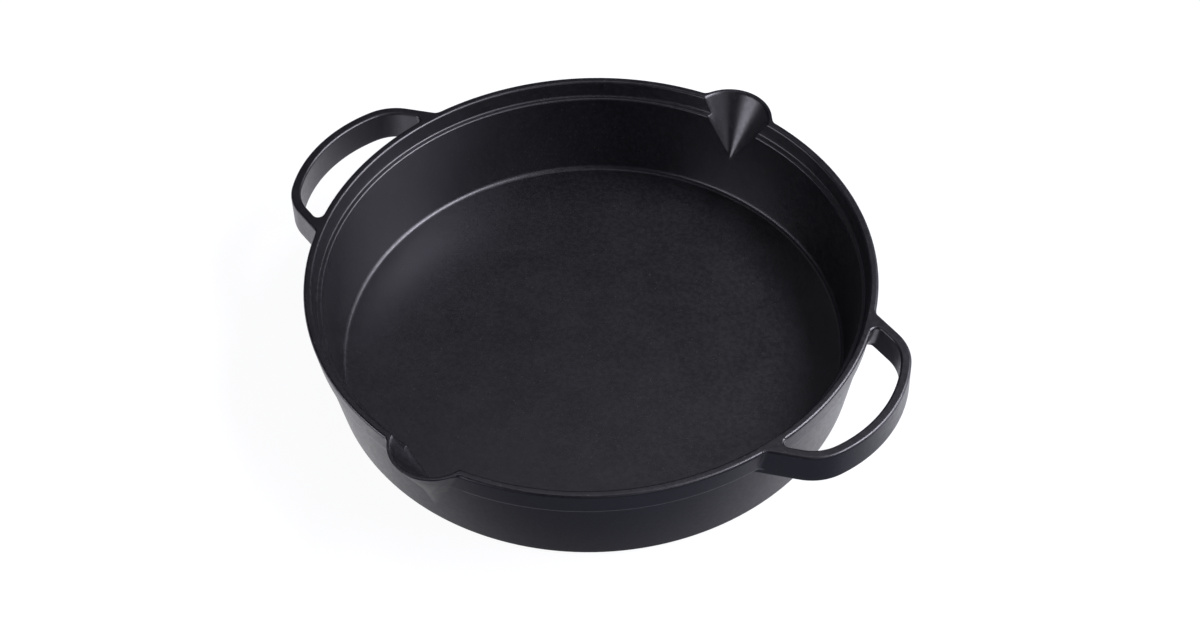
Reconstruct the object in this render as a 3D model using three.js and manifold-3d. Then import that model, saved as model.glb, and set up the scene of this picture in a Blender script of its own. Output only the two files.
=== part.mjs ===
// Low round casserole of cast iron: a flat floor, a tapered wall, a rim collar with a lid ledge inside it,
// two pouring spouts and two loop handles, all level with the rim.
// Millimetres, +Z up. The origin is the middle of the underside, the handles lie along X and the spouts along Y.
// The casting is one piece of metal. It is divided here at its own features: floor, wall, collar, spouts, handles.
import * as THREE from 'three';
import { mergeVertices } from 'three/addons/utils/BufferGeometryUtils.js';
import Module from 'manifold-3d';

const { degToRad } = THREE.MathUtils;

// Overall
const RIM_RADIUS = 150;
const POT_HEIGHT = 60.5;
const CLEARANCE = 0.3; // between a piece and the neighbour that it is cut to

// Rim collar
const RIM_WIDTH = 4.4; // flat top of the rim
const RIM_EDGE = 1.3; // rounding of the rim's two edges
const COLLAR_HEIGHT = 14.2;
const COLLAR_TAPER = 2.2; // how far the collar's outside draws in over its height
const COLLAR_STEP = 1.1; // how far the collar stands out from the wall
const LEDGE_DEPTH = 9; // lid ledge below the rim
const LEDGE_INSET = 1.7; // from the rim's inner edge to the ledge's outer corner
const LEDGE_WIDTH = 2.9;

// Wall and floor
const WALL_DRAFT = degToRad(9.8); // outside of the wall, from upright
const WALL_FOOT = 4.85; // wall thickness at floor level
const WALL_BOW = 1.2; // how far the inside of the wall bows outwards at half height
const FLOOR_THICKNESS = 4;
const FLOOR_FILLET = 3; // inside corner of floor and wall
const FOOT_ROUNDING = 4; // outside corner of wall and underside

// Pouring spouts: upright cones cut down into the rim, each with a thin conical shell round it
const SPOUT_RADIUS = 21.4; // of the inner cone at the rim
const SPOUT_DEPTH = 34; // of the inner cone's point below the rim
const SPOUT_LIP = 2.4;
const SPOUT_SHELL_DEPTH = 46; // of the shell's point below the rim
const SPOUT_INSET = 12.4; // of the cones' axis from the rim's outer edge

// Loop handles: an upright bar bent round a finger hole
const HANDLE_REACH = 29.2; // grip's outer face from the rim's outer edge
const HANDLE_HALF_SPAN = 54.3; // where the arm's outer face meets the rim
const HANDLE_HEIGHT = 18.5;
const BAR_WIDTH = 5.4;
const BAR_EDGE = 1; // rounding of the bar's edges
const ARM_ANGLE = degToRad(20.3); // how far each arm turns towards the middle of the handle
const GRIP_RADIUS = 78; // outer face of the grip, seen from above
const CORNER_RADIUS = 28; // outer face of the corner between grip and arm
const ROOT_FILLET_OUTSIDE = 4;
const ROOT_FILLET_INSIDE = 3;

// Fineness of the facets
const ROUND_SEGMENTS = 72;
const CONE_SEGMENTS = 48;
const ARC_STEPS = 4;
const EDGE_STEPS = 2;
const WALL_STEPS = 5;
const HANDLE_ARC_STEPS = 8;

// Levels and radii that follow from the sizes above
const collarBottom = POT_HEIGHT - COLLAR_HEIGHT;
const ledgeLevel = POT_HEIGHT - LEDGE_DEPTH;
const collarFootRadius = RIM_RADIUS - COLLAR_TAPER;
const wallTopRadius = collarFootRadius - COLLAR_STEP;
const rimInnerRadius = RIM_RADIUS - RIM_WIDTH;
const ledgeOuterRadius = rimInnerRadius - LEDGE_INSET;
const ledgeInnerRadius = ledgeOuterRadius - LEDGE_WIDTH;
const spoutAxis = RIM_RADIUS - SPOUT_INSET;
const handleBottom = POT_HEIGHT - HANDLE_HEIGHT;
const overRim = POT_HEIGHT + RIM_WIDTH; // cutters end above the rim, in clear air

// Outside radius of the wall at a height.
function wallOutside(z) {
  return wallTopRadius - (collarBottom - z) * Math.tan(WALL_DRAFT);
}

// Inside of the wall between the floor and the lid ledge: its radius at a height, and its lean from upright.
const hollowDepth = ledgeLevel - FLOOR_THICKNESS;
const wallFootRadius = wallOutside(FLOOR_THICKNESS) - WALL_FOOT;

function wallInside(z) {
  const share = (z - FLOOR_THICKNESS) / hollowDepth;
  const straight = THREE.MathUtils.lerp(wallFootRadius, ledgeInnerRadius, share);
  return straight + 4 * WALL_BOW * share * (1 - share);
}

function wallInsideLean(z) {
  const share = (z - FLOOR_THICKNESS) / hollowDepth;
  return Math.atan2(ledgeInnerRadius - wallFootRadius + 4 * WALL_BOW * (1 - 2 * share), hollowDepth);
}

// Points of an arc in a profile or an outline, as pairs of numbers.
function profileArc(centre, radius, fromAngle, toAngle, steps) {
  const points = [];
  for (let i = 0; i <= steps; i += 1) {
    const angle = THREE.MathUtils.lerp(fromAngle, toAngle, i / steps);
    points.push([centre[0] + radius * Math.cos(angle), centre[1] + radius * Math.sin(angle)]);
  }
  return points;
}

// A profile's corner, rounded between a point before it and a point after it.
function roundedCorner(before, corner, after) {
  const curve = new THREE.QuadraticBezierCurve(
    new THREE.Vector2(...before),
    new THREE.Vector2(...corner),
    new THREE.Vector2(...after),
  );
  return curve.getPoints(EDGE_STEPS).map((point) => [point.x, point.y]);
}

// Concave fillet from the floor up into the wall.
function floorFillet() {
  const lean = wallInsideLean(FLOOR_THICKNESS + FLOOR_FILLET);
  const tangentLevel = FLOOR_THICKNESS + FLOOR_FILLET * (1 - Math.sin(lean));
  const centreRadius = wallInside(tangentLevel) - FLOOR_FILLET * Math.cos(lean);
  const centre = [centreRadius, FLOOR_THICKNESS + FLOOR_FILLET];
  return profileArc(centre, FLOOR_FILLET, -Math.PI / 2, -lean, ARC_STEPS);
}

// Convex rounding from the underside up into the wall.
function footRounding() {
  const tangentLevel = FOOT_ROUNDING * (1 - Math.sin(WALL_DRAFT));
  const centreRadius = wallOutside(tangentLevel) - FOOT_ROUNDING * Math.cos(WALL_DRAFT);
  return profileArc([centreRadius, FOOT_ROUNDING], FOOT_ROUNDING, -Math.PI / 2, -WALL_DRAFT, ARC_STEPS);
}

// Inside of the wall between two levels, going up.
function wallInsideRun(fromLevel, toLevel, steps) {
  const points = [];
  for (let i = 0; i <= steps; i += 1) {
    const z = THREE.MathUtils.lerp(fromLevel, toLevel, i / steps);
    points.push([wallInside(z), z]);
  }
  return points;
}

// Inside of the collar, going up from its foot to the flat of the rim.
function collarInside() {
  const slope = LEDGE_INSET / LEDGE_DEPTH;
  const edgeStart = [rimInnerRadius - slope * RIM_EDGE, POT_HEIGHT - RIM_EDGE];
  const edgeEnd = [rimInnerRadius + RIM_EDGE, POT_HEIGHT];
  return [
    ...wallInsideRun(collarBottom, ledgeLevel, 1),
    [ledgeOuterRadius, ledgeLevel],
    ...roundedCorner(edgeStart, [rimInnerRadius, POT_HEIGHT], edgeEnd),
  ];
}

// Outside of the collar, going up from its foot to the flat of the rim.
function collarOutside() {
  const slope = COLLAR_TAPER / COLLAR_HEIGHT;
  const edgeStart = [RIM_RADIUS - slope * RIM_EDGE, POT_HEIGHT - RIM_EDGE];
  const edgeEnd = [RIM_RADIUS - RIM_EDGE, POT_HEIGHT];
  return [
    [collarFootRadius, collarBottom],
    ...roundedCorner(edgeStart, [RIM_RADIUS, POT_HEIGHT], edgeEnd),
  ];
}

// Turns a profile of [radius, height] pairs about the Z axis.
function revolve(profile) {
  const points = profile.map(([radius, height]) => new THREE.Vector2(radius, height));
  return new THREE.LatheGeometry(points, ROUND_SEGMENTS).rotateX(Math.PI / 2);
}

// A closed ring of revolution.
function revolveRing(profile) {
  return revolve([...profile, profile[0]]);
}

const wasm = await Module();
wasm.setup();

// A closed geometry as a solid that can be cut.
function toSolid(geometry) {
  const bare = geometry.clone();
  bare.deleteAttribute('normal');
  bare.deleteAttribute('uv');
  const merged = mergeVertices(bare);
  const corners = merged.index.array;
  const kept = [];
  for (let i = 0; i < corners.length; i += 3) {
    const [a, b, c] = corners.subarray(i, i + 3);
    if (a !== b && b !== c && c !== a) kept.push(a, b, c);
  }
  return new wasm.Manifold(new wasm.Mesh({
    numProp: 3,
    vertProperties: merged.attributes.position.array,
    triVerts: new Uint32Array(kept),
  }));
}

// A cut solid as a geometry again.
function toGeometry(solid) {
  const { vertProperties, triVerts } = solid.getMesh();
  const geometry = new THREE.BufferGeometry();
  geometry.setAttribute('position', new THREE.BufferAttribute(vertProperties, 3));
  geometry.setIndex(new THREE.BufferAttribute(triVerts, 1));
  geometry.computeVertexNormals();
  return geometry;
}

// A cone on its point at the back spout, widened to its radius at rim level and ending at a given top.
function spoutCone(radiusAtRim, depth, top) {
  const height = top - (POT_HEIGHT - depth);
  const radius = radiusAtRim * height / depth;
  const cone = new THREE.ConeGeometry(radius, height, CONE_SEGMENTS).rotateX(-Math.PI / 2);
  return toSolid(cone.translate(0, spoutAxis, top - height / 2));
}

// The space that a spout's shell takes out of the wall and collar, with its clearance.
function spoutNotch() {
  const shellRadius = SPOUT_RADIUS + SPOUT_LIP;
  const halfAngle = Math.atan2(shellRadius, SPOUT_SHELL_DEPTH);
  const radius = shellRadius + CLEARANCE / Math.cos(halfAngle);
  const depth = SPOUT_SHELL_DEPTH + CLEARANCE / Math.sin(halfAngle);
  return spoutCone(radius, depth, overRim);
}

// The hollow of the pot, from its floor up past the rim.
function potHollow() {
  const fillet = floorFillet();
  const inside = collarInside();
  const profile = [
    [0, FLOOR_THICKNESS],
    ...fillet,
    ...wallInsideRun(fillet.at(-1)[1], collarBottom, WALL_STEPS).slice(1, -1),
    ...inside,
    [inside.at(-1)[0], overRim],
    [0, overRim],
  ];
  return toSolid(revolve(profile));
}

// The outside of wall and collar, widened by the clearance, from the underside up past the rim.
function potOutside() {
  const widened = [[wallOutside(0), 0], [wallTopRadius, collarBottom], [collarFootRadius, collarBottom]];
  const profile = [...widened, [RIM_RADIUS, POT_HEIGHT], [RIM_RADIUS, overRim]];
  const moved = profile.map(([radius, height]) => [radius + CLEARANCE, height]);
  return toSolid(revolve([[0, 0], ...moved, [0, overRim]]));
}

// Floor disc, out to where the inside fillet begins.
function basePlate() {
  const edge = floorFillet()[0][0];
  return revolve([[0, 0], [edge, 0], [edge, FLOOR_THICKNESS], [0, FLOOR_THICKNESS]]);
}

// Wall from the floor's edge up to the collar, notched for both spouts.
function sideWall(notches) {
  const fillet = floorFillet();
  const inside = wallInsideRun(fillet.at(-1)[1], collarBottom, WALL_STEPS).slice(1);
  const ring = revolveRing([
    [fillet[0][0], 0],
    ...footRounding(),
    [wallTopRadius, collarBottom],
    ...inside.reverse(),
    ...fillet.reverse(),
  ]);
  return toGeometry(toSolid(ring).subtract(notches));
}

// The half of the collar on the +X side, between the two spouts.
function rimArc(notches) {
  const ring = revolveRing([...collarOutside(), ...collarInside().reverse()]);
  const half = new THREE.BoxGeometry(2 * RIM_RADIUS, 4 * RIM_RADIUS, 4 * POT_HEIGHT);
  return toGeometry(toSolid(ring).subtract(notches).intersect(toSolid(half.translate(RIM_RADIUS, 0, 0))));
}

// The back spout: a conical shell with the inner cone and the pot's hollow taken out of it.
function pourSpout() {
  const shell = spoutCone(SPOUT_RADIUS + SPOUT_LIP, SPOUT_SHELL_DEPTH, POT_HEIGHT);
  const funnel = spoutCone(SPOUT_RADIUS, SPOUT_DEPTH, overRim);
  return toGeometry(shell.subtract(funnel).subtract(potHollow()));
}

// Centre of a circle that touches an arm's face and lies a given distance from a fixed point.
// A face is a point on it and the arm's direction; the circle's centre is offset from the face.
function touchingCentre(facePoint, direction, offset, fixedPoint, distance) {
  const start = facePoint.clone().add(offset).sub(fixedPoint);
  const along = start.dot(direction);
  const travel = -along + Math.sqrt(along * along - start.lengthSq() + distance * distance);
  return facePoint.clone().add(offset).addScaledVector(direction, travel);
}

// Outline of the +X handle from above, with fillets where its arms run into the rim.
function handleOutline() {
  const direction = new THREE.Vector2(Math.cos(ARM_ANGLE), -Math.sin(ARM_ANGLE));
  const outward = new THREE.Vector2(Math.sin(ARM_ANGLE), Math.cos(ARM_ANGLE));
  const middle = new THREE.Vector2(0, 0);
  const outerPoint = new THREE.Vector2(Math.sqrt(RIM_RADIUS ** 2 - HANDLE_HALF_SPAN ** 2), HANDLE_HALF_SPAN);
  const innerPoint = outerPoint.clone().addScaledVector(outward, -BAR_WIDTH);
  const gripCentre = new THREE.Vector2(RIM_RADIUS + HANDLE_REACH - GRIP_RADIUS, 0);

  const cornerOffset = outward.clone().multiplyScalar(-CORNER_RADIUS);
  const corner = touchingCentre(outerPoint, direction, cornerOffset, gripCentre, GRIP_RADIUS - CORNER_RADIUS);
  const outsideOffset = outward.clone().multiplyScalar(ROOT_FILLET_OUTSIDE);
  const outsideRoot = touchingCentre(outerPoint, direction, outsideOffset, middle, RIM_RADIUS + ROOT_FILLET_OUTSIDE);
  const insideOffset = outward.clone().multiplyScalar(-ROOT_FILLET_INSIDE);
  const insideRoot = touchingCentre(innerPoint, direction, insideOffset, middle, RIM_RADIUS + ROOT_FILLET_INSIDE);

  const armAngle = outward.angle();
  const gripAngle = corner.clone().sub(gripCentre).angle();
  const outsideAngle = outsideRoot.angle();
  const insideAngle = insideRoot.angle();
  const rootRadius = wallOutside(handleBottom) - BAR_WIDTH;
  const cornerInner = CORNER_RADIUS - BAR_WIDTH;
  const gripInner = GRIP_RADIUS - BAR_WIDTH;

  const rootPoint = (angle) => [rootRadius * Math.cos(angle), rootRadius * Math.sin(angle)];
  const bend = (centre, side, radius, from, to) => (
    profileArc([centre.x, side * centre.y], radius, from, to, HANDLE_ARC_STEPS)
  );
  const outerFace = [
    ...bend(outsideRoot, 1, ROOT_FILLET_OUTSIDE, Math.PI + outsideAngle, Math.PI + armAngle),
    ...bend(corner, 1, CORNER_RADIUS, armAngle, gripAngle),
    ...bend(gripCentre, 1, GRIP_RADIUS, gripAngle, -gripAngle).slice(1, -1),
    ...bend(corner, -1, CORNER_RADIUS, -gripAngle, -armAngle),
    ...bend(outsideRoot, -1, ROOT_FILLET_OUTSIDE, Math.PI - armAngle, Math.PI - outsideAngle),
  ];
  const innerFace = [
    ...bend(insideRoot, -1, ROOT_FILLET_INSIDE, -Math.PI - insideAngle, -armAngle),
    ...bend(corner, -1, cornerInner, -armAngle, -gripAngle),
    ...bend(gripCentre, 1, gripInner, -gripAngle, gripAngle).slice(1, -1),
    ...bend(corner, 1, cornerInner, gripAngle, armAngle),
    ...bend(insideRoot, 1, ROOT_FILLET_INSIDE, armAngle, Math.PI + insideAngle),
  ];
  const outline = [
    rootPoint(outsideAngle),
    ...outerFace,
    rootPoint(-outsideAngle),
    rootPoint(-insideAngle),
    ...innerFace,
    rootPoint(insideAngle),
  ];
  return new THREE.Shape(outline.map(([x, y]) => new THREE.Vector2(x, y)));
}

// The +X handle: the outline drawn up to its height with rounded edges, cut to the pot's outside.
function loopHandle() {
  const bar = new THREE.ExtrudeGeometry(handleOutline(), {
    depth: HANDLE_HEIGHT - 2 * BAR_EDGE,
    bevelSize: BAR_EDGE,
    bevelOffset: -BAR_EDGE,
    bevelThickness: BAR_EDGE,
    bevelSegments: EDGE_STEPS,
  });
  bar.translate(0, 0, handleBottom + BAR_EDGE);
  return toGeometry(toSolid(bar).subtract(potOutside()));
}

// Seasoned iron: near black, with a dull sheen.
function ironMaterial() {
  return new THREE.MeshStandardMaterial({ color: 0x232428, roughness: 0.5, metalness: 0.4 });
}

const casserole = new THREE.Group();

function addPiece(name, geometry, turn = 0) {
  const piece = new THREE.Mesh(geometry, ironMaterial());
  piece.name = name;
  piece.rotation.z = turn;
  casserole.add(piece);
}

const backNotch = spoutNotch();
const bothNotches = backNotch.add(backNotch.rotate([0, 0, 180]));
const rim = rimArc(bothNotches);
const spout = pourSpout();
const handle = loopHandle();

addPiece('base_plate', basePlate());
addPiece('side_wall', sideWall(bothNotches));
addPiece('rim_right', rim);
addPiece('rim_left', rim, Math.PI);
addPiece('pour_spout_back', spout);
addPiece('pour_spout_front', spout, Math.PI);
addPiece('handle_right', handle);
addPiece('handle_left', handle, Math.PI);

export default casserole;
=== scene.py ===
"""Cast iron casserole pot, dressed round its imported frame.

The pot is one casting: a spun body with two pouring spouts drawn out of its wall, and two loop handles
that lie level with the rim. Metres, +Z up. The handles lie along X and the spouts along Y.
"""

import math
from typing import NamedTuple

import bmesh
import bpy
from bpy.props import FloatProperty, FloatVectorProperty, PointerProperty
from mathutils import Matrix, Vector


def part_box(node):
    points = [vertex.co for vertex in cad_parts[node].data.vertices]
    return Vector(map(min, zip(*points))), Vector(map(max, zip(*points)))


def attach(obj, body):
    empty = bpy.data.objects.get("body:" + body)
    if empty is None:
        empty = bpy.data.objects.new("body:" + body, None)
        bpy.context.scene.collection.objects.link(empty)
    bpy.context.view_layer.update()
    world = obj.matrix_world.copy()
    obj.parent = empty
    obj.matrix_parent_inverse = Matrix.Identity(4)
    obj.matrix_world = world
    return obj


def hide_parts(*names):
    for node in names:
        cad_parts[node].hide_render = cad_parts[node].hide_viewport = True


bl_info = {
    "name": "Cast Iron Casserole Pot",
    "version": (1, 0, 0),
    "blender": (4, 5, 0),
    "location": "3D View > Sidebar > Casserole",
    "description": "Builds a two-handled cast iron casserole pot and a small studio round it",
    "category": "Object",
}

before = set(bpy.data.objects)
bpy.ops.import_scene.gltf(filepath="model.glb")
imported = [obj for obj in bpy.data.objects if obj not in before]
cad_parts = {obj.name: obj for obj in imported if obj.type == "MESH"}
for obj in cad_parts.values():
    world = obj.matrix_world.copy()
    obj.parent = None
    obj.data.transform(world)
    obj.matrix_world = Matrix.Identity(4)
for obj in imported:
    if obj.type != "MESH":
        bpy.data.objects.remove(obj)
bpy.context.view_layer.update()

MM = 0.001
BLACK, WHITE = (0.0, 0.0, 0.0), (1.0, 1.0, 1.0)
BODY_NODES = ("base_plate", "side_wall", "rim_right", "rim_left", "pour_spout_back", "pour_spout_front")
HANDLE_TURNS = {"handle_right": 0.0, "handle_left": math.pi}

RIM_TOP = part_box("rim_right")[1]
SPOUT_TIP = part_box("pour_spout_back")[1]
HANDLE_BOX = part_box("handle_right")
FLOOR_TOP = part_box("base_plate")[1]

# Fineness of the meshes
WALL_STEPS = 46
FILLET_STEPS = 12
EDGE_STEPS = 8
CORNER_STEPS = 6
BEND_STEPS = 24
PROFILE_STEP = 1.1 * MM
PLAIN_TURN = math.radians(2.0)
SPOUT_TURN = math.radians(0.15)
MERGE_DISTANCE = 0.005 * MM
FLOOR_SEGMENTS = 96
CLEAR_OF_CORNER = 1.5  # how many of a corner's radii a curved run ends short of it

# Patterns of the iron's surface
ROUND, FINE, CLOUDY = 0.0, 2.0, 6.0  # layers of finer noise
SMUDGE_SWIRL = 0.6
CLOUD_RANGE = (0.25, 0.75)  # part of the noise that passes from one look to the other
CLOUD_MIDDLE = 0.5
SPECK_RANGE = (0.75, 0.85)
SMUDGED_TONE = 0.6  # share of the smudges in the tone, where the mottling has the rest
SMUDGED_SATIN = 0.3  # the same in the roughness
LEVEL_PART = (1.0, 1.0, 0.0)

# Where the floor's mirrored light fades in front of the pot, in rim radii
FRONT_START, FRONT_END = 0.4, 1.1


class Softbox(NamedTuple):
    """A softbox aimed at the middle of the rim.

    Its turn is from the camera's side towards the camera's right.
    """

    turn: float  # degrees
    lift: float  # degrees
    width: float  # metres
    height: float  # metres
    power: float  # watts


SOFTBOX_DISTANCE = 1.5
SOFTBOXES = {
    "right_low_softbox": Softbox(88.0, 20.0, 0.9, 0.5, 9.0),
    "right_high_softbox": Softbox(95.0, 50.0, 0.8, 0.4, 18.0),
    "right_front_softbox": Softbox(62.0, 44.0, 0.5, 0.5, 6.2),
    "right_back_softbox": Softbox(122.0, 44.0, 0.5, 0.5, 2.5),
    "left_softbox": Softbox(-68.0, 13.0, 1.1, 0.6, 9.8),
    "front_softbox": Softbox(25.0, 22.0, 0.9, 0.5, 1.3),
    "back_softbox": Softbox(190.0, 60.0, 0.6, 0.6, 0.4),
    "top_softbox": Softbox(180.0, 75.0, 0.5, 0.4, 0.9),
}


def length(name, description, default):
    """A size that a user may change, in metres."""
    return FloatProperty(
        name=name, description=description, default=default, precision=5, unit="LENGTH", subtype="DISTANCE"
    )


def angle(name, description, degrees):
    """A turn or a lean that a user may change."""
    return FloatProperty(
        name=name, description=description, default=math.radians(degrees), unit="ROTATION", subtype="ANGLE"
    )


def share(name, description, default):
    """A value from 0 to 1."""
    return FloatProperty(
        name=name, description=description, default=default, min=0.0, max=1.0, subtype="FACTOR"
    )


def colour(name, description, default):
    """A linear colour."""
    return FloatVectorProperty(
        name=name, description=description, default=default, size=3, min=0.0, max=1.0, subtype="COLOR"
    )


class PotSizes(bpy.types.PropertyGroup):
    """Sizes of the spun body, from its floor to its rim."""

    rim_radius: length("Rim radius", "Outer edge of the rim", RIM_TOP.x)
    height: length("Height", "Rim above the underside", RIM_TOP.z)
    rim_width: length("Rim width", "Flat top of the rim", 4.4 * MM)
    rim_edge: length("Rim edge", "Rounding of the rim's two edges", 1.3 * MM)
    collar_height: length("Collar height", "Thicker band below the rim", 14.2 * MM)
    collar_taper: length("Collar taper", "How far the band draws in over its height", 2.2 * MM)
    collar_step: length("Collar step", "How far the band stands out from the wall", 1.1 * MM)
    collar_edge: length("Collar edge", "Rounding of the band's lower edge and the corner below", 0.5 * MM)
    ledge_depth: length("Ledge depth", "Lid ledge below the rim", 9.0 * MM)
    ledge_inset: length("Ledge inset", "Ledge's outer corner from the rim's inner edge", 1.7 * MM)
    ledge_width: length("Ledge width", "Tread of the lid ledge", 2.9 * MM)
    ledge_edge: length("Ledge edge", "Rounding of the ledge's two corners", 1.0 * MM)
    tread_fall: length("Tread fall", "How far the ledge and the band's underside slope", 0.1 * MM)
    wall_draft: angle("Wall draft", "Outside of the wall from upright", 9.8)
    wall_foot: length("Wall foot", "Thickness of the wall at floor level", 4.85 * MM)
    wall_bow: length("Wall bow", "How far the inside of the wall bows outwards at half height", 1.2 * MM)
    floor_level: length("Floor level", "Inside of the floor above the underside", FLOOR_TOP.z)
    floor_fillet: length("Floor fillet", "Inside corner of floor and wall", 3.0 * MM)
    foot_rounding: length("Foot rounding", "Outside corner of wall and underside", 4.0 * MM)

    @property
    def collar_bottom(self):
        return self.height - self.collar_height

    @property
    def collar_foot(self):
        return self.rim_radius - self.collar_taper

    @property
    def wall_top(self):
        return self.collar_foot - self.collar_step

    @property
    def rim_inner(self):
        return self.rim_radius - self.rim_width

    @property
    def ledge_level(self):
        return self.height - self.ledge_depth

    @property
    def ledge_outer(self):
        return self.rim_inner - self.ledge_inset

    @property
    def ledge_inner(self):
        return self.ledge_outer - self.ledge_width

    def wall_outside(self, level):
        """Outside radius of the wall at a level."""
        return self.wall_top - (self.collar_bottom - level) * math.tan(self.wall_draft)

    def wall_inside(self, level):
        """Inside radius of the wall at a level between the floor and the ledge."""
        rise = (level - self.floor_level) / (self.ledge_level - self.floor_level)
        foot = self.wall_outside(self.floor_level) - self.wall_foot
        return foot + (self.ledge_inner - foot) * rise + 4 * self.wall_bow * rise * (1 - rise)


class SpoutSizes(bpy.types.PropertyGroup):
    """Sizes of the two pouring spouts: an upright cone with a thin conical shell round it."""

    radius: length("Radius", "Inner cone at the rim", 21.4 * MM)
    depth: length("Depth", "Point of the inner cone below the rim", 34.0 * MM)
    lip: length("Lip", "Thickness of the spout at the rim", 2.4 * MM)
    shell_depth: length("Shell depth", "Point of the outer cone below the rim", 46.0 * MM)
    reach: length("Reach", "Outermost edge of the lip from the pot's middle", SPOUT_TIP.y)
    crease: length("Crease", "Softness of the edge where the spout cuts the inside", 0.7 * MM)
    fillet: length("Fillet", "Softness of the corner where the spout leaves the outside", 3.6 * MM)
    half_width: angle("Half width", "Turn from the spout's middle to where the plain rim begins", 12.0)

    @property
    def axis(self):
        return self.reach - self.radius - self.lip


class HandleSizes(bpy.types.PropertyGroup):
    """Sizes of the two loop handles."""

    reach: length("Reach", "Grip's outer face from the pot's middle", HANDLE_BOX[1].x)
    bottom: length("Bottom", "Lower face of the bar", HANDLE_BOX[0].z)
    half_span: length("Half span", "Where the arm's outer face meets the rim", 54.3 * MM)
    bar_width: length("Bar width", "Thickness of the bar", 5.4 * MM)
    bottom_edge: length("Bottom edge", "Rounding of the bar's lower edges", 1.6 * MM)
    arm_angle: angle("Arm angle", "How far each arm turns towards the middle of the handle", 20.3)
    grip_radius: length("Grip radius", "Bend of the grip's outer face", 78.0 * MM)
    corner_radius: length("Corner radius", "Bend of the outer face between grip and arm", 28.0 * MM)
    fillet_outside: length("Outer root fillet", "Where the arm's outer face runs into the rim", 4.0 * MM)
    fillet_inside: length("Inner root fillet", "Where the arm's inner face runs into the rim", 3.0 * MM)
    root_sink: length("Root sink", "How far the fillets run into the casting", 0.1 * MM)
    root_depth: length("Root depth", "How far the arm runs into the casting", 2.2 * MM)
    below_rim: length("Below rim", "Top of the bar below the rim, so that the rim's flat runs on", 0.004 * MM)


class IronFinish(bpy.types.PropertyGroup):
    """Seasoned iron: near black and satin, with a fine matt grain."""

    tone: colour("Tone", "Colour of the seasoning", (0.0030, 0.0030, 0.0045))
    worn_tone: colour("Worn tone", "Colour where the seasoning is thin", (0.0066, 0.0065, 0.0090))
    speck_tone: colour("Speck tone", "Colour of the stray specks", (0.032, 0.032, 0.036))
    # Painted highlight: a lighter colour laid along the band's lower edge, in place of the light that edge
    # catches.
    painted_highlight_tone: colour("Edge tone", "Colour of the worn lower edge of the band", (0.19, 0.19, 0.20))
    sheen_tint: colour("Sheen tint", "Colour of the seasoning's sheen", (0.89, 0.86, 1.0))
    gloss: share("Gloss", "Strength of the seasoning's sheen, where 0.5 is plain lacquer", 0.95)
    roughness: share("Roughness", "Middle roughness of the seasoning", 0.37)
    roughness_spread: share("Roughness spread", "How far the roughness wanders", 0.10)
    smudge_size: length("Smudge size", "Width of the cloudy patches", 26.0 * MM)
    mottle_size: length("Mottle size", "Width of the fine mottling", 2.4 * MM)
    speck_size: length("Speck size", "Width of the cells that may hold a speck", 1.0 * MM)
    grain_size: length("Grain size", "Width of the cast grain", 0.9 * MM)
    grain_height: length("Grain height", "Height of the cast grain", 0.018 * MM)
    # How far the painted highlight reaches from the band's lower edge.
    painted_edge_highlight: length("Worn edge", "How far the wear reaches from the band's lower edge", 1.3 * MM)


class StudioSettings(bpy.types.PropertyGroup):
    """Pale floor, softboxes and camera."""

    floor_radius: length("Floor radius", "Size of the floor", 3.0)
    floor_gap: length("Floor gap", "Floor below the underside of the rough iron", 0.2 * MM)
    floor_tone: colour("Floor tone", "Colour of the floor", (0.111, 0.118, 0.155))
    floor_glow: share("Floor glow", "Light that the floor adds where it is seen, to look white", 0.94)
    floor_sheen: share("Floor sheen", "Light that the floor adds where glossy surfaces mirror it", 0.95)
    sheen_tone: colour("Sheen tone", "Colour of that light", (0.98, 0.98, 1.0))
    front_sheen: share("Front sheen", "How much of that light is left in front of the pot", 0.03)
    world_tone: colour("World tone", "Light from all round", (0.012, 0.013, 0.019))
    camera_distance: length("Camera distance", "Camera from the middle of the rim", 1.2845)
    camera_turn: angle("Camera turn", "Camera round the pot, from the front spout to the right", 35.2)
    camera_height: angle("Camera height", "Camera above the horizon", 47.707)
    camera_roll: angle("Camera roll", "Lean of the camera", -1.924)
    aim_right: length("Aim right", "Camera's aim to the right of the rim's middle", 4.97 * MM)
    aim_up: length("Aim up", "Camera's aim above the rim's middle", -23.1 * MM)
    lens: FloatProperty(
        name="Lens", description="Focal length on a 36 mm sensor", default=73.97, unit="CAMERA"
    )


# Outlines and profiles


def arc(centre, radius, start, end, steps):
    """Points of an arc in a flat outline, both ends among them."""
    turns = [start + (end - start) * i / steps for i in range(steps + 1)]
    return [(centre[0] + radius * math.cos(t), centre[1] + radius * math.sin(t)) for t in turns]


def rounded_corner(before, corner, after, radius, steps):
    """The arc that rounds a corner between two straight runs."""
    corner = Vector(corner)
    run_in = (corner - Vector(before)).normalized()
    run_out = (Vector(after) - corner).normalized()
    turn = math.atan2(run_in.cross(run_out), run_in.dot(run_out))
    inwards = Vector((-run_in.y, run_in.x)) * math.copysign(1.0, turn)
    touch = corner - run_in * radius * math.tan(abs(turn) / 2)
    centre = touch + inwards * radius
    start = math.atan2(touch.y - centre.y, touch.x - centre.x)
    return arc(centre, radius, start, start + turn, steps)


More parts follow.
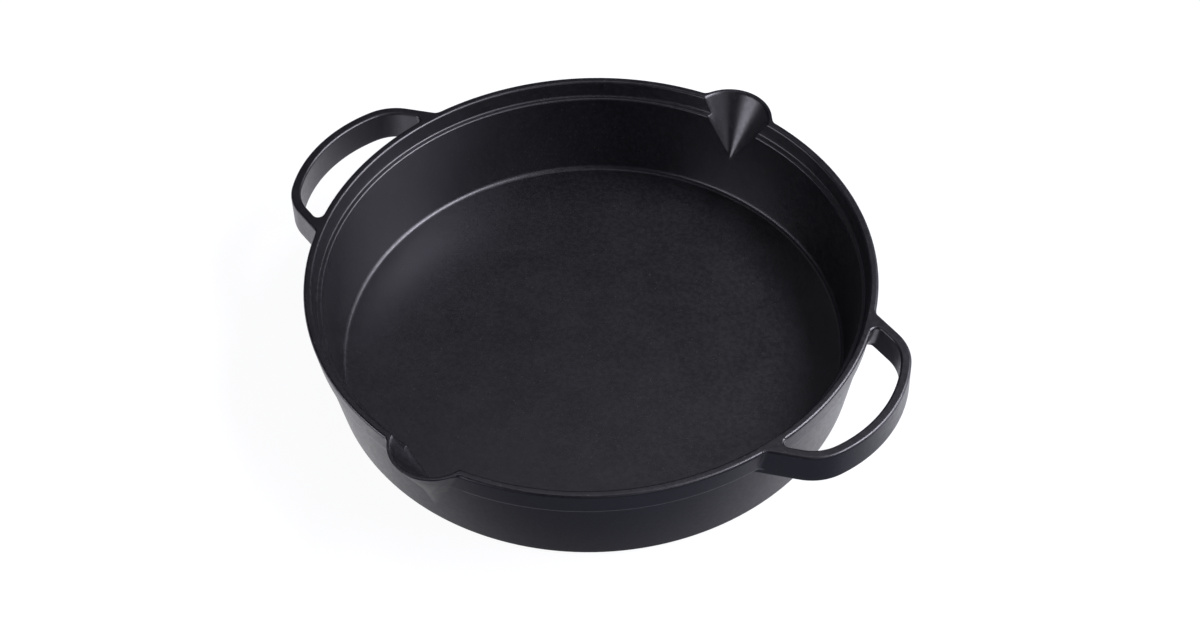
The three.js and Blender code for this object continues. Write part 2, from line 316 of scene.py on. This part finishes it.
def pot_profile(pot):
    """The body's profile as (radius, height) points in three runs: inside, top of the rim and outside."""
    wall_start = pot.floor_level + CLEAR_OF_CORNER * pot.floor_fillet
    wall_end = pot.ledge_level - CLEAR_OF_CORNER * pot.ledge_edge
    levels = [wall_start + (wall_end - wall_start) * i / WALL_STEPS for i in range(WALL_STEPS + 1)]
    wall = [(pot.wall_inside(level), level) for level in levels]

    floor_middle = (0.0, pot.floor_level)
    floor_corner = (pot.wall_inside(pot.floor_level), pot.floor_level)
    ledge_nose = (pot.ledge_inner, pot.ledge_level)
    ledge_root = (pot.ledge_outer, pot.ledge_level + pot.tread_fall)
    rim_inside = (pot.rim_inner, pot.height)
    rim_outside = (pot.rim_radius, pot.height)
    collar_nose = (pot.collar_foot, pot.collar_bottom)
    collar_root = (pot.wall_top, pot.collar_bottom - pot.tread_fall)
    foot_corner = (pot.wall_outside(0.0), 0.0)
    base_middle = (0.0, 0.0)

    inside = [
        floor_middle,
        *rounded_corner(floor_middle, floor_corner, wall[0], pot.floor_fillet, FILLET_STEPS),
        *wall,
        *rounded_corner(wall[-1], ledge_nose, ledge_root, pot.ledge_edge, CORNER_STEPS),
        *rounded_corner(ledge_nose, ledge_root, rim_inside, pot.ledge_edge, CORNER_STEPS),
    ]
    top = [
        *rounded_corner(ledge_root, rim_inside, rim_outside, pot.rim_edge, EDGE_STEPS),
        *rounded_corner(rim_inside, rim_outside, collar_nose, pot.rim_edge, EDGE_STEPS),
    ]
    outside = [
        *rounded_corner(rim_outside, collar_nose, collar_root, pot.collar_edge, CORNER_STEPS),
        *rounded_corner(collar_nose, collar_root, foot_corner, pot.collar_edge, CORNER_STEPS),
        *rounded_corner(collar_root, foot_corner, base_middle, pot.foot_rounding, FILLET_STEPS),
        base_middle,
    ]
    return inside, top, outside


def touching_centre(start, direction, fixed, distance):
    """The far point on a line from start that lies a given distance from a fixed point."""
    offset = start - fixed
    along = offset.dot(direction)
    return start + direction * (math.sqrt(along ** 2 - offset.length_squared + distance ** 2) - along)


def handle_faces(handle, rim_radius, pot_radius, inset):
    """Outer and inner face of the right handle from above, drawn in by an inset, on a pot of that radius.

    Both run from the back arm's root to the front arm's, and have as many points.
    """
    middle = Vector((0.0, 0.0))
    direction = Vector((math.cos(handle.arm_angle), -math.sin(handle.arm_angle)))
    outward = Vector((math.sin(handle.arm_angle), math.cos(handle.arm_angle)))
    arm_face = Vector((math.sqrt(rim_radius ** 2 - handle.half_span ** 2), handle.half_span))
    grip = Vector((handle.reach - handle.grip_radius, 0.0))
    bend = handle.grip_radius - handle.corner_radius
    corner = touching_centre(arm_face - outward * handle.corner_radius, direction, grip, bend)
    arm_turn = math.pi / 2 - handle.arm_angle
    grip_turn = math.atan2(corner.y - grip.y, corner.x - grip.x)

    def half_face(thickness, side, fillet):
        """One arm's face at a depth below the outer face. The side is 1 outside and -1 inside the loop."""
        start = arm_face + outward * (side * fillet - thickness)
        root = touching_centre(start, direction, middle, pot_radius + fillet)
        root_turn = math.atan2(root.y, root.x)
        foot = pot_radius - handle.root_depth
        touch_turn = arm_turn + (math.pi if side > 0 else 0.0)
        return [
            (foot * math.cos(root_turn), foot * math.sin(root_turn)),
            *arc(root, fillet, math.pi + root_turn, touch_turn, EDGE_STEPS),
            *arc(corner, handle.corner_radius - thickness, arm_turn, grip_turn, BEND_STEPS),
            *arc(grip, handle.grip_radius - thickness, grip_turn, 0.0, BEND_STEPS)[1:],
        ]

    outer = half_face(inset, 1, handle.fillet_outside + inset)
    inner = half_face(handle.bar_width - inset, -1, handle.fillet_inside + inset)
    return [half + [(x, -y) for x, y in reversed(half[:-1])] for half in (outer, inner)]


def handle_levels(pot, handle):
    """Level, inset and pot radius of the bar's outlines, from its underside to its top."""
    top = pot.height - handle.below_rim
    turns = [math.pi / 2 * i / EDGE_STEPS for i in range(EDGE_STEPS + 1)]
    foot = [(handle.bottom_edge * (1 - math.cos(t)), handle.bottom_edge * (1 - math.sin(t))) for t in turns]
    brow = [(pot.rim_edge * (1 - math.cos(t)), pot.rim_edge * (1 - math.sin(t))) for t in reversed(turns)]
    wall = pot.wall_outside(handle.bottom) - handle.root_sink
    collar = pot.collar_foot - handle.root_sink
    rim = pot.rim_radius - handle.root_sink
    return [
        *((handle.bottom + rise, inset, wall - inset) for rise, inset in foot),
        (pot.collar_bottom - handle.root_sink, 0.0, pot.wall_top - handle.root_sink),
        (pot.collar_bottom + handle.root_sink, 0.0, collar),
        *((top - drop, inset, rim - inset) for drop, inset in brow),
    ]


# Meshes


def smooth_max(first, second, blend):
    """The larger of two sizes, eased over where they are close."""
    near = max(blend - abs(first - second), 0.0)
    return max(first, second) + near * near / (4 * blend)


def cone_reach(axis, radius, turn):
    """How far out a level line from the pot's middle leaves a spout's cone, or 0 where it misses."""
    across = axis * math.sin(turn)
    if radius <= across:
        return 0.0
    return axis * math.cos(turn) + math.sqrt(radius ** 2 - across ** 2)


def lay_profile(bm, pot):
    """Lays the profile in the XZ plane as a chain of edges.

    Each point keeps its share of the way to the outside.
    """
    inside, top, outside = pot_profile(pot)
    first, last = top[0][0], top[-1][0]
    shares = [0.0] * len(inside) + [(r - first) / (last - first) for r, z in top] + [1.0] * len(outside)
    outward = bm.verts.layers.float.new("outward")
    chain = []
    for (radius, level), value in zip(inside + top + outside, shares):
        vert = bm.verts.new((radius, 0.0, level))
        vert[outward] = value
        chain.append(vert)
    for edge in [bm.edges.new(pair) for pair in zip(chain, chain[1:])]:
        cuts = int(edge.calc_length() / PROFILE_STEP)
        if cuts and min(v.co.x for v in edge.verts) > pot.rim_radius / 2:
            bmesh.ops.subdivide_edges(bm, edges=[edge], cuts=cuts)
    return outward


def spin_quarter(bm, half_width):
    """Spins the profile from the right handle's side to the back spout, in finer steps across the spout."""
    edge = bm.verts[:] + bm.edges[:]
    for turn, step in ((math.pi / 2 - half_width, PLAIN_TURN), (half_width, SPOUT_TURN)):
        steps = round(turn / step)
        spun = bmesh.ops.spin(bm, geom=edge, cent=(0, 0, 0), axis=(0, 0, 1), angle=turn, steps=steps)
        edge = spun["geom_last"]


def mirror_round(bm):
    """Mirrors a quarter of the body across both upright middle planes and closes it."""
    for axis in ("X", "Y"):
        part = bm.verts[:] + bm.edges[:] + bm.faces[:]
        bmesh.ops.mirror(bm, geom=part, axis=axis, merge_dist=MERGE_DISTANCE)
    bmesh.ops.remove_doubles(bm, verts=bm.verts[:], dist=MERGE_DISTANCE)


def draw_out_spouts(bm, pot, spout, outward):
    """Moves the spun wall outwards on to the spouts' cones.

    The inside moves on to the inner cone, and the outside on to the shell.
    """
    top = pot_profile(pot)[1]
    rim_inside, rim_outside = top[0][0], top[-1][0]
    inner_slope = spout.radius / spout.depth
    outer_slope = (spout.radius + spout.lip) / spout.shell_depth
    for vert in bm.verts:
        radius = vert.co.xy.length
        turn = math.atan2(abs(vert.co.x), abs(vert.co.y))
        if radius < pot.rim_radius / 2 or turn > spout.half_width:
            continue
        below = pot.height - vert.co.z
        inner = cone_reach(spout.axis, (spout.depth - below) * inner_slope, turn)
        outer = cone_reach(spout.axis, (spout.shell_depth - below) * outer_slope, turn)
        side = vert[outward]
        from_inside = radius if side == 0.0 else rim_inside
        from_outside = radius if side == 1.0 else rim_outside
        moved = (1 - side) * (smooth_max(from_inside, inner, spout.crease) - from_inside)
        moved += side * (smooth_max(from_outside, outer, spout.fillet) - from_outside)
        vert.co.xy *= (radius + moved) / radius


def bar_loop(bm, faces, level):
    """A closed chain of edges round the bar: along its outer face, and back along its inner one."""
    outer, inner = faces
    verts = [bm.verts.new((x, y, level)) for x, y in outer + inner[::-1]]
    return [bm.edges.new(pair) for pair in zip(verts, verts[1:] + verts[:1])]


def cap_bar(bm, loop):
    """Closes the bar with a strip between its outer and inner face."""
    half = len(loop) // 2
    bmesh.ops.bridge_loops(bm, edges=loop[:half - 1] + loop[half:-1])


def add_piece(name, bm, nodes, material):
    """Turns a finished mesh into a piece that rides on the frame and stands for some of its nodes."""
    bmesh.ops.recalc_face_normals(bm, faces=bm.faces[:])
    for face in bm.faces:
        face.smooth = True
    mesh = bpy.data.meshes.new(name)
    bm.to_mesh(mesh)
    bm.free()
    mesh.materials.append(material)
    piece = bpy.data.objects.new(name, mesh)
    bpy.context.scene.collection.objects.link(piece)
    piece.modifiers.new("Weighted normals", "WEIGHTED_NORMAL")
    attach(piece, "root")
    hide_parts(*nodes)
    return piece


# Materials


class Value:
    """A shader socket that takes part in sums. An expression on values adds its Math nodes."""

    def __init__(self, shader, socket):
        self.shader = shader
        self.socket = socket

    def maths(self, operation, first, second):
        return self.shader.node("ShaderNodeMath", {"operation": operation}, {0: first, 1: second})

    def __add__(self, other):
        return self.maths("ADD", self, other)

    def __sub__(self, other):
        return self.maths("SUBTRACT", self, other)

    def __mul__(self, other):
        return self.maths("MULTIPLY", self, other)

    def __rsub__(self, other):
        return self.maths("SUBTRACT", other, self)

    __radd__ = __add__
    __rmul__ = __mul__


class Shader:
    """The nodes of one material or of the world."""

    MIX_FIRST, MIX_SECOND, MIX_COLOUR = 6, 7, 2

    def __init__(self, tree):
        self.tree = tree
        tree.nodes.clear()

    def node(self, kind, settings=None, inputs=None, output=0):
        """Adds a node with its settings and its sockets' values or links, and gives one of its outputs."""
        made = self.tree.nodes.new(kind)
        for name, value in (settings or {}).items():
            setattr(made, name, value)
        for name, value in (inputs or {}).items():
            if isinstance(value, Value):
                self.tree.links.new(value.socket, made.inputs[name])
            else:
                made.inputs[name].default_value = value
        return Value(self, made.outputs[output]) if made.outputs else None

    def ray(self, kind):
        """1 for rays of one kind, and 0 for others."""
        return self.node("ShaderNodeLightPath", output=f"Is {kind} Ray")

    def noise(self, place, size, detail, swirl=0.0):
        """Cloudy noise from 0 to 1 with patches of a given size, drawn out into swirls."""
        inputs = {"Vector": place, "Scale": 1 / size, "Detail": detail, "Distortion": swirl}
        return self.node("ShaderNodeTexNoise", {}, inputs)

    def ease(self, value, start, end):
        """A value eased from 0 at its start to 1 at its end."""
        inputs = {"Value": value, "From Min": start, "From Max": end}
        return self.node("ShaderNodeMapRange", {"interpolation_type": "SMOOTHSTEP"}, inputs)

    def mix(self, factor, first, second):
        """One colour passing into another."""
        first, second = (c if isinstance(c, Value) else (*c, 1.0) for c in (first, second))
        inputs = {0: factor, self.MIX_FIRST: first, self.MIX_SECOND: second}
        return self.node("ShaderNodeMix", {"data_type": "RGBA"}, inputs, self.MIX_COLOUR)


def new_material(name):
    """An empty material and its nodes."""
    material = bpy.data.materials.new(name)
    material.use_nodes = True
    return material, Shader(material.node_tree)


def painted_band_edge_highlight(shader, place, pot, spout, reach):
    """How strongly the painted highlight lies along the lower edge of the band below the rim, from 0 to 1,
    clear of the spouts.
    """
    sideways = shader.node("ShaderNodeSeparateXYZ", {}, {"Vector": place}, "X")
    level = shader.node("ShaderNodeSeparateXYZ", {}, {"Vector": place}, "Z")
    flat = shader.node("ShaderNodeVectorMath", {"operation": "MULTIPLY"}, {0: place, 1: LEVEL_PART})
    radius = shader.node("ShaderNodeVectorMath", {"operation": "LENGTH"}, {0: flat}, "Value")
    below = shader.ease(level, pot.collar_bottom - reach, pot.collar_bottom)
    above = shader.ease(level, pot.collar_bottom + reach, pot.collar_bottom)
    nose = shader.ease(radius, pot.wall_top, pot.collar_foot - pot.collar_edge)
    face = shader.ease(radius, pot.rim_radius, pot.collar_foot + pot.collar_edge)
    clear = shader.ease(sideways * sideways, spout.radius ** 2, (spout.radius + spout.lip) ** 2)
    return below * above * nose * face * clear


def seasoned_iron(scene):
    """Satin near-black iron with cloudy patches, fine mottling, stray specks, a cast grain and a painted
    highlight along the band's lower edge.
    """
    name = "iron_seasoning"
    if name in bpy.data.materials:
        return bpy.data.materials[name]
    finish = scene.casserole_finish
    material, shader = new_material(name)
    place = shader.node("ShaderNodeTexCoord", output="Object")
    smudge = shader.ease(shader.noise(place, finish.smudge_size, CLOUDY, SMUDGE_SWIRL), *CLOUD_RANGE)
    mottle = shader.ease(shader.noise(place, finish.mottle_size, FINE), *CLOUD_RANGE)
    speck = shader.ease(shader.noise(place, finish.speck_size, ROUND), *SPECK_RANGE)
    grain = shader.noise(place, finish.grain_size, FINE)
    wear = smudge * SMUDGED_TONE + mottle * (1 - SMUDGED_TONE)
    satin = smudge * SMUDGED_SATIN + mottle * (1 - SMUDGED_SATIN)
    roughness = (satin - CLOUD_MIDDLE) * finish.roughness_spread + finish.roughness
    # Mask of the painted highlight along the band's lower edge, a lighter tone that stands in for the light
    # the edge catches.
    painted_edge_highlight = painted_band_edge_highlight(shader, place, scene.casserole_pot, scene.casserole_spout, finish.painted_edge_highlight)
    bump = shader.node("ShaderNodeBump", {}, {"Distance": finish.grain_height, "Height": grain})
    seasoning = shader.mix(wear, finish.tone, finish.worn_tone)
    seasoning = shader.mix(speck, seasoning, finish.speck_tone)
    surface = shader.node("ShaderNodeBsdfPrincipled", {}, {
        # The base colour takes the painted highlight's lighter tone along the band's lower edge.
        "Base Color": shader.mix(painted_edge_highlight, seasoning, finish.painted_highlight_tone),
        "Specular IOR Level": finish.gloss,
        "Specular Tint": (*finish.sheen_tint, 1.0),
        "Roughness": roughness,
        "Normal": bump,
    })
    shader.node("ShaderNodeOutputMaterial", {}, {"Surface": surface})
    return material


def floor_finish(studio):
    """Pale floor that the camera and glossy surfaces see as white, with the pot's shadow on it.

    From below the camera looks through it.
    """
    material, shader = new_material("studio_floor")
    camera, glossy, transmission = (shader.ray(kind) for kind in ("Camera", "Glossy", "Transmission"))
    place = shader.node("ShaderNodeTexCoord", output="Object")
    towards = from_camera_side(studio, 0.0, 0.0)
    forward = shader.node(
        "ShaderNodeVectorMath", {"operation": "DOT_PRODUCT"}, {0: place, 1: towards}, "Value"
    )
    in_front = shader.ease(forward, FRONT_START * RIM_TOP.x, FRONT_END * RIM_TOP.x)
    sheen = (1.0 - in_front * (1.0 - studio.front_sheen)) * studio.floor_sheen
    seen = (camera + transmission) * studio.floor_glow + glossy * sheen
    light = shader.mix(glossy, WHITE, studio.sheen_tone)
    glow = shader.node("ShaderNodeEmission", {}, {"Color": shader.mix(seen, BLACK, light)})
    matt = shader.node("ShaderNodeBsdfDiffuse", {}, {"Color": (*studio.floor_tone, 1.0)})
    both = shader.node("ShaderNodeAddShader", {}, {0: glow, 1: matt})
    from_below = camera * shader.node("ShaderNodeNewGeometry", output="Backfacing")
    through = shader.node("ShaderNodeBsdfTransparent")
    surface = shader.node("ShaderNodeMixShader", {}, {0: from_below, 1: both, 2: through})
    shader.node("ShaderNodeOutputMaterial", {}, {"Surface": surface})
    return material


# Studio


def from_camera_side(studio, turn, lift):
    """A direction given by its turn from the camera's side towards the camera's right and its lift."""
    front = studio.camera_turn + turn
    level = Vector((math.sin(front), -math.cos(front), 0.0))
    return level * math.cos(lift) + Vector((0.0, 0.0, math.sin(lift)))


def add_floor(studio):
    """A round floor just below the pot."""
    bm = bmesh.new()
    bmesh.ops.create_circle(bm, cap_ends=True, radius=studio.floor_radius, segments=FLOOR_SEGMENTS)
    mesh = bpy.data.meshes.new("studio_floor")
    bm.to_mesh(mesh)
    bm.free()
    mesh.materials.append(floor_finish(studio))
    floor = bpy.data.objects.new("studio_floor", mesh)
    floor.location.z = -studio.floor_gap
    bpy.context.scene.collection.objects.link(floor)


def add_softbox(name, softbox, studio):
    """A rectangular softbox that faces the middle of the rim."""
    lamp = bpy.data.lights.new(name, "AREA")
    lamp.shape = "RECTANGLE"
    lamp.size, lamp.size_y = softbox.width, softbox.height
    lamp.energy = softbox.power
    box = bpy.data.objects.new(name, lamp)
    direction = from_camera_side(studio, math.radians(softbox.turn), math.radians(softbox.lift))
    box.location = Vector((0.0, 0.0, RIM_TOP.z)) + direction * SOFTBOX_DISTANCE
    box.rotation_euler = direction.to_track_quat("Z", "Y").to_euler()
    bpy.context.scene.collection.objects.link(box)


def add_camera(studio):
    """The camera at the photograph's viewing angle."""
    lens = bpy.data.cameras.new("photo_camera")
    lens.lens = studio.lens
    camera = bpy.data.objects.new("photo_camera", lens)
    back = from_camera_side(studio, 0.0, studio.camera_height)
    right = from_camera_side(studio, math.pi / 2, 0.0)
    roll = Matrix.Rotation(studio.camera_roll, 3, back)
    right = roll @ right
    up = back.cross(right)
    place = Vector((0.0, 0.0, RIM_TOP.z)) + back * studio.camera_distance
    place += right * studio.aim_right + up * studio.aim_up
    turned = Matrix((right, up, back)).transposed().to_4x4()
    camera.matrix_world = Matrix.Translation(place) @ turned
    bpy.context.scene.collection.objects.link(camera)
    bpy.context.scene.camera = camera


def set_world(studio):
    """A dim room that the camera sees as white."""
    world = bpy.data.worlds.new("studio")
    world.use_nodes = True
    shader = Shader(world.node_tree)
    seen = shader.ray("Camera") + shader.ray("Transmission")
    light = shader.node("ShaderNodeBackground", {}, {"Color": shader.mix(seen, studio.world_tone, WHITE)})
    shader.node("ShaderNodeOutputWorld", {}, {"Surface": light})
    bpy.context.scene.world = world


# Operators and panel


class CASSEROLE_OT_pot_body(bpy.types.Operator):
    """Spin the body and draw the two spouts out of its wall"""

    bl_idname = "casserole.pot_body"
    bl_label = "Pot body"

    def execute(self, context):
        scene = context.scene
        bm = bmesh.new()
        outward = lay_profile(bm, scene.casserole_pot)
        spin_quarter(bm, scene.casserole_spout.half_width)
        draw_out_spouts(bm, scene.casserole_pot, scene.casserole_spout, outward)
        mirror_round(bm)
        add_piece("pot_body", bm, BODY_NODES, seasoned_iron(scene))
        return {"FINISHED"}


class CASSEROLE_OT_loop_handles(bpy.types.Operator):
    """Draw the two loop handles and round their edges"""

    bl_idname = "casserole.loop_handles"
    bl_label = "Loop handles"

    def execute(self, context):
        scene = context.scene
        pot, handle = scene.casserole_pot, scene.casserole_handle
        for name, turn in HANDLE_TURNS.items():
            bm = bmesh.new()
            loops = [
                bar_loop(bm, handle_faces(handle, pot.rim_radius, pot_radius, inset), level)
                for level, inset, pot_radius in handle_levels(pot, handle)
            ]
            for lower, upper in zip(loops, loops[1:]):
                bmesh.ops.bridge_loops(bm, edges=lower + upper)
            cap_bar(bm, loops[0])
            cap_bar(bm, loops[-1])
            bmesh.ops.rotate(bm, verts=bm.verts[:], matrix=Matrix.Rotation(turn, 3, "Z"))
            add_piece(name + "_bar", bm, [name], seasoned_iron(scene))
        return {"FINISHED"}


class CASSEROLE_OT_studio(bpy.types.Operator):
    """Lay the floor, hang the softboxes and place the camera"""

    bl_idname = "casserole.studio"
    bl_label = "Studio"

    def execute(self, context):
        studio = context.scene.casserole_studio
        add_floor(studio)
        for name, softbox in SOFTBOXES.items():
            add_softbox(name, softbox, studio)
        add_camera(studio)
        set_world(studio)
        context.scene.view_settings.view_transform = "Standard"
        return {"FINISHED"}


OPERATORS = (CASSEROLE_OT_pot_body, CASSEROLE_OT_loop_handles, CASSEROLE_OT_studio)


class CASSEROLE_PT_sidebar(bpy.types.Panel):
    """Steps that build the casserole pot"""

    bl_idname = "CASSEROLE_PT_sidebar"
    bl_label = "Casserole pot"
    bl_space_type = "VIEW_3D"
    bl_region_type = "UI"
    bl_category = "Casserole"

    def draw(self, context):
        for operator in OPERATORS:
            self.layout.operator(operator.bl_idname)


GROUPS = {
    "casserole_pot": PotSizes,
    "casserole_spout": SpoutSizes,
    "casserole_handle": HandleSizes,
    "casserole_finish": IronFinish,
    "casserole_studio": StudioSettings,
}


def register():
    for group in GROUPS.values():
        bpy.utils.register_class(group)
    for name, group in GROUPS.items():
        setattr(bpy.types.Scene, name, PointerProperty(type=group))
    for operator in OPERATORS:
        bpy.utils.register_class(operator)
    bpy.utils.register_class(CASSEROLE_PT_sidebar)


def unregister():
    bpy.utils.unregister_class(CASSEROLE_PT_sidebar)
    for operator in reversed(OPERATORS):
        bpy.utils.unregister_class(operator)
    for name, group in reversed(GROUPS.items()):
        delattr(bpy.types.Scene, name)
        bpy.utils.unregister_class(group)


def main():
    register()
    bpy.ops.casserole.pot_body()
    bpy.ops.casserole.loop_handles()
    bpy.ops.casserole.studio()


if __name__ == "__main__":
    main()
